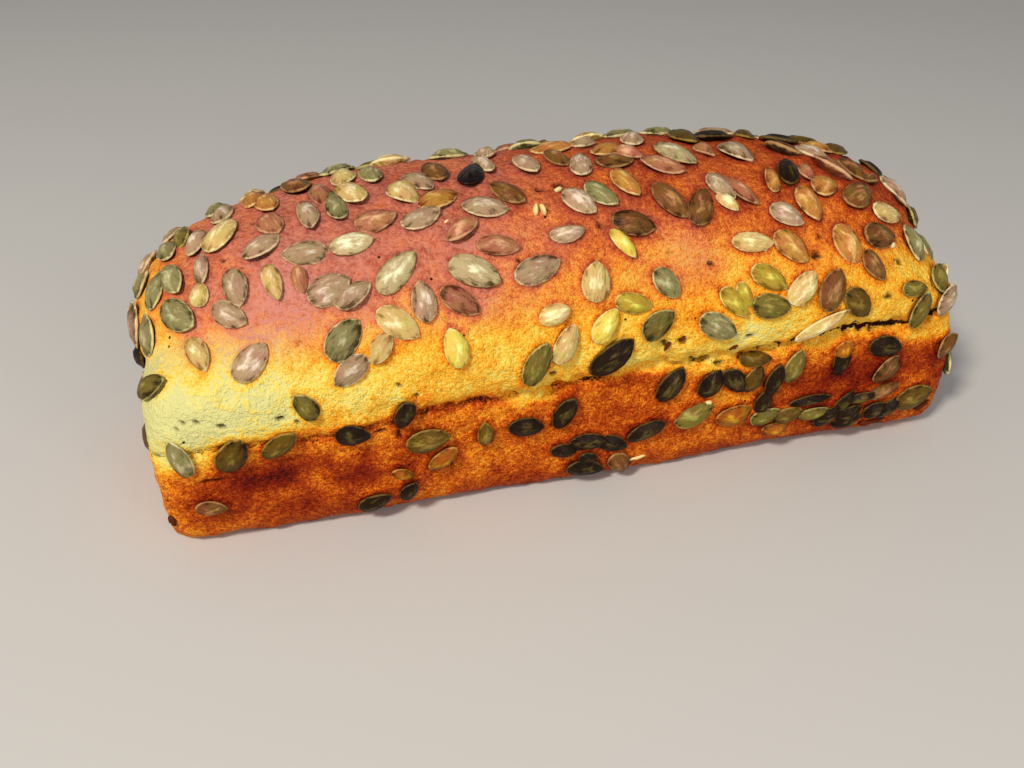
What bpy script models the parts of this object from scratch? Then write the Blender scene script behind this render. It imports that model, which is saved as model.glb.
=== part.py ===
"""Pumpkin seed bread loaf: a long tin loaf with a domed top, its crust set with pumpkin seeds.

Blender 4.5, in metres, +Z up, +X along the loaf. The origin is the middle of the flat base, and -Y is the
loaf's front. The loaf is one solid, because the seeds are baked into its crust.

A place on the crust is given by two numbers. "walk" is how far it is from the middle of the loaf, along the
side and then across the end. "roll" is its angle round the loaf in degrees: 0 on the ridge, 90 at the height
of the tin's rim on the front, -90 at the rim on the back, and 180 under the base.
"""

import math

import bmesh
import bpy
import numpy as np
from mathutils import Matrix

MM = 0.001

# The loaf, as it came out of a 30 cm tin.
LENGTH = 0.288
WIDTH = 0.106
RIM_HEIGHT = 0.0466  # where the tin's rim was, and the crust burst sideways over it
DOME_HEIGHT = 0.058  # from the rim to the ridge
DOME_POWER = 2.35  # 2 is an ellipse, and more is squarer
WALL_POWER = 8.0
RIM_END_POWER = 12.0  # the ends are square at the rim and below it
RIDGE_END_POWER = 3.3  # and round over the top
FOOT_END_POWER = 30.0  # added for each 90 degrees below the rim, down to the foot
RIM_BAND = 18.0  # degrees of roll over which square turns to round
WALL_TAPER = 0.05  # share of the width that the walls lose by the base
TAPER_CHANGE = 0.055  # more at the left end and as much less at the right
FOOT_SINK = 0.0028  # the form runs this far below the base, more than its relief, so the base is cut flat

# The crust's relief.
LUMP_HEIGHT = 0.0008
LUMP_FADE = 0.03  # the lumps die out over this walk, before they would meet in the middle of the end
SWELL_HEIGHT = 0.0016  # the pale band that swelled out over the rim
SWELL_RISE = 0.014  # how far the middle of the swell lies above the crease
SWELL_BAND = 0.010
CREASE_DEPTH = 0.0028
CREASE_BAND = 0.003
CREASE_SLOPE = 0.040  # the crease runs higher towards the right end
CREASE_WAVE = 0.0015
BACK_TEAR = 0.6  # the back's crease against the front's
TEAR_START = -0.045  # the front's crease fades out to the left of this walk
STEP_DEPTH = 0.0014  # below the crease the wall lies this much further in
END_START = 0.122  # the swell and the step fade out across the ends, from this walk
END_FADE = 0.018

# One seed, and how many the solid has.
SEED_SIDES = 6
SEED_POINTING = 0.25  # the tip is this much narrower than the middle, and the round end as much wider
SEED_TOP_SHARE = 0.66  # the top face against the outline
SEED_SUNK = 0.0036
SEED_PROUD = 0.0021
FUSED_SEEDS = 188
LOWEST_SEED = 0.0005

# The seeds on the front and the top, sorted by colour. Each row is walk (mm), roll (degrees), turn (the way
# the pointed tip lies, in degrees from the loaf's length, upwards), length and width (mm) and, where the lower
# edge stands up, by how many degrees.
SEEN_SEEDS = {
    "silver": (
        (-109, 40, -85, 13, 8), (-123, -6, 95, 14, 8, 20), (-119, 9, 80, 14, 8), (-111, -8, 80, 15, 8),
        (-100, 27, 22, 13, 9, 10), (-84, 16, -85, 15, 7), (-87, 33, 175, 14, 8, 20), (-82, 47, 20, 14, 10),
        (-75, 50, 25, 13, 8, 20), (-108, 66, 45, 14, 9), (-137, 71, 25, 12, 8), (-40, 0, -85, 15, 9),
        (-29, 26, -20, 15, 9), (-50, 27, 20, 14, 8), (-64, 25, 15, 14, 9), (-65, 58, -45, 10, 6),
        (-23, -1, -80, 14, 7), (-17, 50, 15, 16, 9), (-5, 40, 5, 12, 6), (2, 29, -50, 13, 9),
        (33, 32, -62, 16, 9), (59, 31, -55, 15, 7, 15), (68, 6, -75, 16, 11), (110, 19, -70, 14, 9),
        (103, 63, -70, 12, 8), (134, 80, 20, 13, 11), (8, 11, 75, 15, 8), (58, 50, -8, 15, 7),
        (-118, 28, 85, 12, 5),
    ),
    "green": (
        (-126, 44, -42, 15, 10), (-73, 33, 5, 14, 8), (-61, 45, 42, 17, 9), (-37, 48, -28, 17, 10),
        (-54, 55, 92, 13, 8), (-80, 63, 48, 15, 10), (26, 59, -55, 12, 8), (22, 72, 38, 13, 9),
        (43, 75, -32, 15, 9), (62, 71, -12, 14, 9), (73, 42, -32, 13, 8), (125, 56, 75, 16, 10),
        (76, 98, 78, 14, 8), (10, 27, -52, 13, 8), (-57, 104, 3, 15, 10), (-134, 96, 105, 15, 7),
        (39, 114, 22, 15, 8, 30), (44, 7, -65, 18, 11), (14, 64, -15, 13, 7), (122, 81, 82, 15, 8),
        (-127, 25, -68, 15, 8),
    ),
    "olive": (
        (-75, 15, 95, 15, 7), (-119, 97, 62, 15, 10), (-94, 81, 120, 11, 7), (2, 3, -80, 15, 7),
        (-20, 79, 65, 16, 9), (95, 74, -48, 14, 9), (118, 73, -5, 11, 6), (133, 69, 50, 12, 8),
        (72, 53, -45, 15, 9), (99, 6, -60, 14, 9), (69, 104, 78, 14, 7), (94, 124, 30, 12, 7),
        (103, 124, 25, 11, 7), (138, 101, 22, 12, 8), (77, 121, 10, 12, 7), (129, 121, 20, 15, 11),
        (-144, 46, 90, 14, 9), (-52, 114, 38, 12, 7), (68, 120, 15, 12, 7), (-104, 95, 42, 14, 8),
        (-81, 95, -25, 12, 9), (60, 101, 60, 12, 8), (66, 113, 75, 10, 7), (9, 120, -20, 11, 7),
        (62, 62, -35, 14, 8), (49, 68, -50, 13, 7),
    ),
    "brown": (
        (18, 39, -18, 15, 9), (109, 52, -5, 15, 10), (43, 36, 62, 15, 9), (85, 69, 65, 15, 10),
        (-20, 21, -55, 14, 8), (-38, 34, 30, 13, 8, 25), (-112, 49, -40, 12, 8), (-79, 72, -145, 13, 8, 25),
        (20, 11, -5, 13, 8), (-37, 107, 92, 10, 6), (-9, 104, 62, 13, 8), (44, 100, 60, 12, 9),
        (-64, 125, 60, 9, 6),
    ),
    "dark": (
        (-64, 89, -105, 12, 7), (-23, 107, -12, 13, 8), (6, 81, 38, 18, 11), (29, 98, 60, 15, 9),
        (0, 118, -3, 15, 7), (-9, 120, -5, 10, 6), (-1, 128, -10, 14, 8), (21, 117, 20, 15, 7),
        (53, 100, -45, 14, 8), (60, 92, -5, 12, 6), (112, 95, -15, 14, 9), (95, 99, -92, 12, 7),
        (105, 35, 28, 16, 10), (81, 23, 68, 15, 8), (-76, 127, 20, 12, 8), (100, 119, 55, 10, 6),
        (103, 127, 15, 12, 7), (120, 124, 45, 12, 7), (116, 117, 20, 12, 6, 30), (-129, -3, -75, 14, 8),
        (88, 122, 8, 11, 6),
    ),
    "cream": (
        (-119, 39, 80, 8, 7), (-112, 12, 62, 17, 11), (-98, 41, -82, 12, 6), (-135, 24, 60, 14, 9),
        (-113, -20, 80, 14, 8), (-100, -12, 85, 15, 8), (-69, 7, -72, 15, 10), (-53, 12, -68, 14, 10),
        (-47, 6, -60, 14, 9), (-70, -9, 80, 15, 9), (-61, -6, -85, 14, 8), (-69, 67, 50, 11, 7, 20),
        (-46, 70, 100, 13, 8), (-9, 4, -80, 15, 8), (2, 56, 82, 13, 10), (-10, 74, 62, 14, 8),
        (-13, 64, 12, 11, 7), (4, 70, 50, 13, 8), (53, 28, -65, 13, 8), (53, 35, -48, 9, 5),
        (92, 31, 20, 11, 9), (74, 67, 42, 14, 9), (116, 42, -8, 15, 8), (127, 25, -45, 15, 9),
        (142, 57, -75, 14, 9), (53, 66, -70, 9, 5), (82, 80, 35, 18, 9, 30), (-2, -22, 0, 14, 8, 20),
        (22, -24, 0, 14, 8, 20), (34, -22, 0, 14, 8), (48, -21, 0, 14, 8), (116, 25, 15, 9, 4, 30),
        (73, 126, 0, 10, 6),
    ),
    "amber": (
        (-96, -2, -80, 15, 8), (-43, 19, 15, 14, 9), (-129, 119, -12, 10, 6), (-52, -23, 10, 15, 8, 20),
        (-32, -19, 0, 14, 8), (20, 23, -70, 14, 8), (13, 45, -55, 12, 5), (83, 38, -80, 14, 9),
        (94, 54, -68, 15, 11), (73, 27, 80, 12, 5), (105, -2, -10, 13, 8), (114, 124, 25, 10, 7),
        (12, 128, -60, 11, 8), (115, 107, 50, 13, 8), (-66, 117, -25, 8, 4), (95, 94, -90, 9, 7),
        (55, 117, 8, 14, 9), (0, 124, 0, 7, 4),
    ),
    "rosy": (
        (-96, 16, -70, 12, 9), (-79, 3, -88, 15, 7), (-90, 42, -85, 9, 5), (-122, 61, -62, 13, 7),
        (-43, 56, -38, 14, 8), (-28, 41, -12, 14, 7), (27, 5, -45, 12, 8), (21, 1, 10, 13, 9),
        (36, 15, -35, 16, 9), (88, 24, -85, 9, 5), (88, 3, -45, 14, 8, 35), (101, 19, -62, 17, 9, 30),
        (56, 5, -70, 10, 6), (-62, 61, -40, 14, 9),
    ),
    "burnt": ((-29, 7, 65, 15, 9),),
}

# The back and the ends, which have no rows above: a rule strews them with seeds like those on the front.
SEEN_WALK = 0.143  # the rows reach this far from the middle
SEEN_BACK_ROLL = -6.0  # and, apart from a few, this far over the ridge
LOWEST_ROLL = 122.0
STREWN_SEEDS = 150
STREWN_TRIES = 6000
STREWN_GAP = 0.0105
STREWN_LENGTHS = (10, 17)
STREWN_WIDTH_SHARE = 0.6
WALL_SHARE = 0.45  # chance that a seed drawn for a wall or an end stays, where one on the dome always does
DRAW_SEED = 11

HALF_LENGTH = LENGTH / 2
HALF_WIDTH = WIDTH / 2
HALF_WALK = HALF_LENGTH + HALF_WIDTH

COLUMNS = 40
ROWS = 34
RIM_BUNCHING = 14.0  # degrees: draws the columns together at the rim, where the crease is
FOOT_BUNCHING = 4.0  # and at the corner of the base
ROW_SHARES = (0, 0.6, 0.85, 1)  # of the rows from the middle of the loaf to the middle of its end,
WALK_SHARES = (0, 0.64, 0.78, 1)  # and of the walk there, which draws the rows together at the corner


def plain_point(walk, roll):
    """The loaf without relief: a section carried along the loaf and drawn in at the ends.

    The section is a superellipse, rounder above the rim than below it. The share by which it is drawn in
    follows a superellipse of the distance from the middle, whose power depends on the roll.
    """
    turn = np.radians(roll)
    side, rise = -np.sin(turn), np.cos(turn)
    above_rim = np.clip(90 - np.abs(roll), 0, None) / RIM_BAND
    power = RIDGE_END_POWER + (RIM_END_POWER - RIDGE_END_POWER) * np.exp(-(above_rim**2))
    power = power + FOOT_END_POWER * np.clip(np.abs(roll) / 90 - 1, 0, 0.3)
    corner = 0.5 ** (1 / power)
    reach = np.abs(walk)
    on_side = reach <= corner * HALF_LENGTH
    along_side = np.minimum(reach / HALF_LENGTH, corner)
    across_end = corner * (HALF_WALK - reach) / (HALF_WALK - corner * HALF_LENGTH)
    across_end = np.clip(across_end, 0, corner)
    along = np.where(on_side, along_side, (1 - across_end**power) ** (1 / power))
    spread = np.where(on_side, (1 - along_side**power) ** (1 / power), across_end)
    section_power = np.where(rise > 0, DOME_POWER, WALL_POWER)
    section_height = np.where(rise > 0, DOME_HEIGHT, RIM_HEIGHT + FOOT_SINK)
    unit = (np.abs(side) ** section_power + np.abs(rise) ** section_power) ** (-1 / section_power)
    x = np.sign(walk) * along * HALF_LENGTH
    y = spread * side * unit * HALF_WIDTH
    z = RIM_HEIGHT + spread * rise * unit * section_height
    taper = WALL_TAPER - TAPER_CHANGE * x / HALF_LENGTH
    y = y * (1 - taper * np.clip(1 - z / RIM_HEIGHT, 0, 1))
    return np.stack(np.broadcast_arrays(x, y, z), axis=-1)


def relief(walk, roll, plain):
    """How far the crust stands out of the plain form.

    Slow waves make lumps. Down each side and across the ends, a bell curve of height is the swell over the
    rim, a narrower one is the torn crease, and below the crease the wall steps in.
    """
    turn = np.radians(roll)
    lumps = np.sin(walk / 0.029 + 1.3) * np.cos(2.3 * turn) + 0.6 * np.sin(walk / 0.016 + 3.0 * turn)
    lumps = lumps * np.clip((HALF_WALK - np.abs(walk)) / LUMP_FADE, 0, 1)
    crease_height = RIM_HEIGHT + CREASE_SLOPE * plain[..., 0] + CREASE_WAVE * np.sin(plain[..., 0] / 0.011)
    above = plain[..., 2] - crease_height
    at_front = 0.5 - 0.5 * np.tanh(plain[..., 1] / 0.01)
    front_tear = 1 / (1 + np.exp((TEAR_START - walk) / 0.012))
    torn = BACK_TEAR + (front_tear - BACK_TEAR) * at_front
    on_side = np.clip(1 - (np.abs(walk) - END_START) / END_FADE, 0, 1)
    swell = on_side * np.exp(-(((above - SWELL_RISE) / SWELL_BAND) ** 2))
    crease = torn * np.exp(-((above / CREASE_BAND) ** 2))
    step = on_side * (0.3 + 0.7 * torn) / (1 + np.exp(above / 0.002))
    return LUMP_HEIGHT * lumps + SWELL_HEIGHT * swell - CREASE_DEPTH * crease - STEP_DEPTH * step


def crust_point(walk, roll):
    """A place on the finished crust: the plain form, moved out from the loaf's core by the relief."""
    plain = plain_point(walk, roll)
    core = plain.copy()
    core[..., 0] = np.clip(core[..., 0], HALF_WIDTH - HALF_LENGTH, HALF_LENGTH - HALF_WIDTH)
    core[..., 1] = 0
    core[..., 2] = RIM_HEIGHT
    outward = plain - core
    outward = outward / np.linalg.norm(outward, axis=-1, keepdims=True)
    point = plain + outward * np.expand_dims(relief(walk, roll, plain), -1)
    point[..., 2] = np.maximum(point[..., 2], 0)
    return point


def crust_frame(walk, roll):
    """The place, the direction along the loaf, the one up the side, and the one straight out of the crust."""
    near = np.array((walk - 0.001, walk + 0.001, walk, walk))
    round_it = np.array((roll, roll, roll + 1.0, roll - 1.0))
    left, right, low, high = crust_point(near, round_it)
    along = (right - left) / np.linalg.norm(right - left)
    out = np.cross(along, high - low)
    out = out / np.linalg.norm(out)
    return crust_point(np.array([walk]), np.array([roll]))[0], along, np.cross(out, along), out


def strewn_seeds():
    """Seeds for the back and the ends: places drawn at random, kept where the others leave room."""
    draw = np.random.default_rng(DRAW_SEED)
    seen = np.array([row[:2] for kind in SEEN_SEEDS.values() for row in kind])
    places = list(crust_point(seen[:, 0] * MM, seen[:, 1]))
    rows = []
    for _ in range(STREWN_TRIES):
        walk = draw.uniform(-HALF_WALK, HALF_WALK)
        roll = draw.uniform(-LOWEST_ROLL, LOWEST_ROLL)
        turn = draw.uniform(-90, 90)
        length = draw.uniform(*STREWN_LENGTHS)
        chance = draw.uniform()
        on_end = abs(walk) > SEEN_WALK
        if roll > SEEN_BACK_ROLL and not on_end:
            continue
        if (on_end or roll < -75) and chance > WALL_SHARE:
            continue
        place = crust_point(np.array([walk]), np.array([roll]))[0]
        if any(np.linalg.norm(place - other) < STREWN_GAP for other in places):
            continue
        places.append(place)
        rows.append((walk / MM, roll, turn, length, length * STREWN_WIDTH_SHARE))
        if len(rows) == STREWN_SEEDS:
            break
    return rows


def add_material(name, colour, roughness):
    material = bpy.data.materials.new(name)
    material.use_nodes = True
    shader = material.node_tree.nodes["Principled BSDF"]
    shader.inputs["Base Color"].default_value = (*colour, 1)
    shader.inputs["Roughness"].default_value = roughness
    shader.inputs["Metallic"].default_value = 0
    return material


def add_loaf(collection):
    """The bare loaf: a sphere whose latitude becomes walk and whose longitude becomes roll."""
    bpy.ops.mesh.primitive_uv_sphere_add(segments=COLUMNS, ring_count=ROWS, radius=1)
    loaf = bpy.context.object
    loaf.name = loaf.data.name = "seeded_loaf"
    for other in loaf.users_collection:
        other.objects.unlink(loaf)
    collection.objects.link(loaf)
    points = np.empty(len(loaf.data.vertices) * 3)
    loaf.data.vertices.foreach_get("co", points)
    across, up, axis = points.reshape(-1, 3).T
    share = np.arcsin(np.clip(axis, -1, 1)) / (math.pi / 2)
    walk = np.sign(share) * np.interp(np.abs(share), ROW_SHARES, WALK_SHARES) * HALF_WALK
    around = np.arctan2(across, up)
    roll = np.degrees(around) + RIM_BUNCHING * np.sin(2 * around) + FOOT_BUNCHING * np.sin(4 * around)
    loaf.data.vertices.foreach_set("co", crust_point(walk, roll).ravel())
    shell = bmesh.new()
    shell.from_mesh(loaf.data)
    bmesh.ops.recalc_face_normals(shell, faces=shell.faces)
    shell.to_mesh(loaf.data)
    shell.free()
    return loaf


def add_seed(collection, name, row):
    """One seed: a low cone cut off flat, pulled into a pointed oval and laid on the crust."""
    walk, roll, turn, length, width, *lift = row
    place, along, up, out = crust_frame(walk * MM, roll)
    frame = Matrix([(*axes, 0) for axes in np.array((along, up, out)).T] + [(0, 0, 0, 1)])
    frame.translation = place
    raised = math.radians(sum(lift))
    lie = Matrix.Rotation(math.radians(turn), 4, "Z") @ Matrix.Rotation(-raised, 4, "X")
    sunk = SEED_SUNK + width * MM / 2 * math.sin(raised)
    shape = bmesh.new()
    bmesh.ops.create_cone(
        shape,
        cap_ends=True,
        segments=SEED_SIDES,
        radius1=1,
        radius2=SEED_TOP_SHARE,
        depth=sunk + SEED_PROUD,
        matrix=Matrix.Translation((0, 0, (SEED_PROUD - sunk) / 2)) @ Matrix.Rotation(math.pi / 2, 4, "Z"),
    )
    for vertex in shape.verts:
        pointed = 1 - SEED_POINTING * vertex.co.x
        vertex.co.x *= length * MM / 2
        vertex.co.y *= width * MM / 2 * pointed
        vertex.co = frame @ lie @ vertex.co
    lowest = min(vertex.co.z for vertex in shape.verts)
    bmesh.ops.translate(shape, verts=shape.verts, vec=(0, 0, max(LOWEST_SEED - lowest, 0)))
    bmesh.ops.recalc_face_normals(shape, faces=shape.faces)
    mesh = bpy.data.meshes.new(name)
    shape.to_mesh(mesh)
    shape.free()
    seed = bpy.data.objects.new(name, mesh)
    collection.objects.link(seed)
    return seed


def keep_largest_shell(mesh):
    """Leaves the one shell with the most faces, which fills sealed hollows and drops loose scraps.

    A shell is crossed only where an edge has two faces, so two that only touch along an edge are told apart.
    """
    shape = bmesh.new()
    shape.from_mesh(mesh)
    bmesh.ops.triangulate(shape, faces=shape.faces)
    unseen = set(shape.faces)
    shells = []
    while unseen:
        shell, edge_of_shell = set(), {unseen.pop()}
        while edge_of_shell:
            face = edge_of_shell.pop()
            shell.add(face)
            for edge in face.edges:
                if len(edge.link_faces) == 2:
                    edge_of_shell.update(other for other in edge.link_faces if other in unseen)
            unseen -= edge_of_shell
        shells.append(shell)
    largest = max(shells, key=len)
    loose = [face for face in shape.faces if face not in largest]
    bmesh.ops.delete(shape, geom=loose, context="FACES")
    shape.to_mesh(mesh)
    shape.free()


def fuse(loaf, seeds):
    """Joins the seeds to the loaf as one solid, and removes the loose ones."""
    union = loaf.modifiers.new("seeds baked in", "BOOLEAN")
    union.operation = "UNION"
    union.operand_type = "COLLECTION"
    union.collection = seeds
    evaluated = loaf.evaluated_get(bpy.context.evaluated_depsgraph_get())
    fused = bpy.data.meshes.new_from_object(evaluated)
    loaf.modifiers.clear()
    bare = loaf.data
    loaf.data = fused
    bpy.data.meshes.remove(bare)
    for seed in list(seeds.objects):
        bpy.data.objects.remove(seed)
    bpy.data.collections.remove(seeds)
    keep_largest_shell(fused)


for old in list(bpy.data.objects):
    bpy.data.objects.remove(old)
parts = bpy.data.collections.new("pumpkin_seed_bread_loaf")
bpy.context.scene.collection.children.link(parts)
seed_collection = bpy.data.collections.new("seeds")
bpy.context.scene.collection.children.link(seed_collection)

seeded_loaf = add_loaf(parts)
all_rows = [row for rows in SEEN_SEEDS.values() for row in rows] + strewn_seeds()
all_rows.sort(key=lambda row: -row[3])
for number, seed_row in enumerate(all_rows[:FUSED_SEEDS]):
    add_seed(seed_collection, f"seed_{number:03d}", seed_row)
fuse(seeded_loaf, seed_collection)
seeded_loaf.data.name = seeded_loaf.name
seeded_loaf.data.materials.clear()
seeded_loaf.data.materials.append(add_material("baked crust", (0.48, 0.21, 0.06), 0.65))
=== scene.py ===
"""Pumpkin seed bread loaf: the looks of a long tin loaf whose crust is set with pumpkin seeds.

In metres, +Z up, +X along the loaf, and the origin in the middle of the flat base. A place on the crust is
given by two numbers. "walk" is how far it is from the middle of the loaf, along the side and then across the
end. "roll" is its angle round the loaf in degrees: 0 on the ridge, 90 at the height of the tin's rim on the
front, -90 at the rim on the back, and 180 under the base.
"""

import bpy
import numpy as np
from mathutils import Matrix, Vector


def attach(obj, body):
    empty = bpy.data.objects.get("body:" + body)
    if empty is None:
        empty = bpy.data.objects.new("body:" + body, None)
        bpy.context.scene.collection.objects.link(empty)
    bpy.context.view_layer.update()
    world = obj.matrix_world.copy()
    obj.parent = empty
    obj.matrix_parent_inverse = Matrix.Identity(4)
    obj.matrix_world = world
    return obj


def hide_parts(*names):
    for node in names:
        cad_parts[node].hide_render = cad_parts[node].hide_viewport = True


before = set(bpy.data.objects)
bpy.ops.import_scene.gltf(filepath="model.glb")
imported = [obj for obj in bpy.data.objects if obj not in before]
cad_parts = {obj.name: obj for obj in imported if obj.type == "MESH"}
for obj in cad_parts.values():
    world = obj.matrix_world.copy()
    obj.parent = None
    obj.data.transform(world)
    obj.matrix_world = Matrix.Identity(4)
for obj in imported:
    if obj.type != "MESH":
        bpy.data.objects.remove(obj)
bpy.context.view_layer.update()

# The loaf's form: yeast dough proved and baked in a straight-sided tin. It rose out of the tin into a dome,
# burst sideways over the rim, and shrank a little at the foot. The sizes are those of the CAD solid.
MM = 0.001
LENGTH = 0.288
WIDTH = 0.106
RIM_HEIGHT = 0.0466
DOME_HEIGHT = 0.058  # from the rim's height to the ridge
DOME_POWER = 2.35  # 2 is an ellipse, and more is squarer
WALL_POWER = 8.0
RIM_END_POWER = 12.0  # the ends are square at the rim and below it
RIDGE_END_POWER = 3.3  # and round over the top
FOOT_END_POWER = 30.0  # added for each quarter turn below the rim
FOOT_REACH = 0.3  # how far below the rim that goes on, in quarter turns
RIM_BAND = 18.0  # degrees of roll over which square turns to round
WALL_TAPER = 0.05  # how much narrower the foot is than the rim, as a share
TAPER_CHANGE = 0.055  # how much less that is at the right end than in the middle
FOOT_SINK = 0.0028  # how far the wall would go on below the floor, which cuts it off flat
LUMP_HEIGHT = 0.0008
LUMP_WALKS = (0.029, 0.016)  # the walk in each radian of the lumps' two waves
LUMP_TURNS = (2.3, 3.0)  # and the radians of each wave in a radian of roll
LUMP_START = 1.3
SMALL_LUMPS = 0.6  # the second wave's share of the first
LUMP_FADE = 0.03
SWELL_HEIGHT = 0.0016
SWELL_RISE = 0.014  # from the crease up to the swell's middle
SWELL_BAND = 0.010
CREASE_DEPTH = 0.0028
CREASE_BAND = 0.003
CREASE_SLOPE = 0.040
CREASE_WAVE = 0.0015
CREASE_WALK = 0.011  # the walk in each radian of its wave
BACK_TEAR = 0.6
TEAR_START = -0.045  # the walk on the front where the dough begins to be torn
TEAR_FADE = 0.012
SIDE_FADE = 0.01  # how far across the loaf the front's tear turns into the back's
STEP_DEPTH = 0.0014
STEP_BAND = 0.002
STEP_UNTORN = 0.3  # the step's share where the crease isn't torn
END_START = 0.122  # the walk at which the swell and the step begin to fade
END_FADE = 0.018
HALF_LENGTH = LENGTH / 2
HALF_WIDTH = WIDTH / 2
HALF_WALK = HALF_LENGTH + HALF_WIDTH
NEAR_WALK = 0.001  # a place's directions are measured between points this far to each side of it
NEAR_ROLL = 1.0


def plain_point(walk, roll):
    """The loaf without relief: a section carried along the loaf and drawn in at the ends.

    The section is a superellipse, rounder above the rim than below it. The share by which it is drawn in
    follows a superellipse of the distance from the middle, whose power depends on the roll.
    """
    turn = np.radians(roll)
    side, rise = -np.sin(turn), np.cos(turn)
    above_rim = np.clip(90 - np.abs(roll), 0, None) / RIM_BAND
    power = RIDGE_END_POWER + (RIM_END_POWER - RIDGE_END_POWER) * np.exp(-(above_rim**2))
    power = power + FOOT_END_POWER * np.clip(np.abs(roll) / 90 - 1, 0, FOOT_REACH)
    corner = 0.5 ** (1 / power)
    reach = np.abs(walk)
    on_side = reach <= corner * HALF_LENGTH
    along_side = np.minimum(reach / HALF_LENGTH, corner)
    across_end = corner * (HALF_WALK - reach) / (HALF_WALK - corner * HALF_LENGTH)
    across_end = np.clip(across_end, 0, corner)
    along = np.where(on_side, along_side, (1 - across_end**power) ** (1 / power))
    spread = np.where(on_side, (1 - along_side**power) ** (1 / power), across_end)
    section_power = np.where(rise > 0, DOME_POWER, WALL_POWER)
    section_height = np.where(rise > 0, DOME_HEIGHT, RIM_HEIGHT + FOOT_SINK)
    unit = (np.abs(side) ** section_power + np.abs(rise) ** section_power) ** (-1 / section_power)
    x = np.sign(walk) * along * HALF_LENGTH
    y = spread * side * unit * HALF_WIDTH
    z = RIM_HEIGHT + spread * rise * unit * section_height
    taper = WALL_TAPER - TAPER_CHANGE * x / HALF_LENGTH
    y = y * (1 - taper * np.clip(1 - z / RIM_HEIGHT, 0, 1))
    return np.stack(np.broadcast_arrays(x, y, z), axis=-1)


def crease_height(x):
    """How high the torn crease runs: a slope along the loaf with a small wave."""
    return RIM_HEIGHT + CREASE_SLOPE * x + CREASE_WAVE * np.sin(x / CREASE_WALK)


def tear(walk, y):
    """How deeply the crease is torn, from 0 to 1: fading left of its start in front, and even at the back."""
    at_front = 0.5 - 0.5 * np.tanh(y / SIDE_FADE)
    front_tear = 1 / (1 + np.exp((TEAR_START - walk) / TEAR_FADE))
    return BACK_TEAR + (front_tear - BACK_TEAR) * at_front


def relief(walk, roll, plain):
    """How far the crust stands out of the plain form.

    Slow waves make lumps. Down each side and across the ends, a bell curve of height is the swell over the
    rim, a narrower one is the torn crease, and below the crease the wall steps in.
    """
    turn = np.radians(roll)
    lumps = np.sin(walk / LUMP_WALKS[0] + LUMP_START) * np.cos(LUMP_TURNS[0] * turn)
    lumps = lumps + SMALL_LUMPS * np.sin(walk / LUMP_WALKS[1] + LUMP_TURNS[1] * turn)
    lumps = lumps * np.clip((HALF_WALK - np.abs(walk)) / LUMP_FADE, 0, 1)
    above = plain[..., 2] - crease_height(plain[..., 0])
    torn = tear(walk, plain[..., 1])
    on_side = np.clip(1 - (np.abs(walk) - END_START) / END_FADE, 0, 1)
    swell = on_side * np.exp(-(((above - SWELL_RISE) / SWELL_BAND) ** 2))
    crease = torn * np.exp(-((above / CREASE_BAND) ** 2))
    step = on_side * (STEP_UNTORN + (1 - STEP_UNTORN) * torn) / (1 + np.exp(above / STEP_BAND))
    return LUMP_HEIGHT * lumps + SWELL_HEIGHT * swell - CREASE_DEPTH * crease - STEP_DEPTH * step


def outward_from_core(plain):
    """The unit direction from the loaf's core, a line along its middle at the rim's height, to each point."""
    core = plain.copy()
    core[..., 0] = np.clip(core[..., 0], HALF_WIDTH - HALF_LENGTH, HALF_LENGTH - HALF_WIDTH)
    core[..., 1] = 0
    core[..., 2] = RIM_HEIGHT
    outward = plain - core
    return outward / np.linalg.norm(outward, axis=-1, keepdims=True)


def crust_point(walk, roll):
    """A place on the crust: the plain form, moved out from the loaf's core by the relief."""
    plain = plain_point(walk, roll)
    point = plain + outward_from_core(plain) * np.expand_dims(relief(walk, roll, plain), -1)
    point[..., 2] = np.maximum(point[..., 2], 0)
    return point


def crust_frame(walk, roll):
    """The place, the direction along the loaf, the one up the side, and the one straight out of the crust."""
    near = np.array((walk - NEAR_WALK, walk + NEAR_WALK, walk, walk))
    round_it = np.array((roll, roll, roll + NEAR_ROLL, roll - NEAR_ROLL))
    left, right, low, high = crust_point(near, round_it)
    along = (right - left) / np.linalg.norm(right - left)
    out = np.cross(along, high - low)
    out = out / np.linalg.norm(out)
    return crust_point(np.array([walk]), np.array([roll]))[0], along, np.cross(out, along), out


# Where the seeds lie: shelled pumpkin seeds, strewn on the wet dough before the last proving and baked in.
# The front and the top follow the loaf seed by seed, and a rule strews the back and the ends in the same way.

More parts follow.
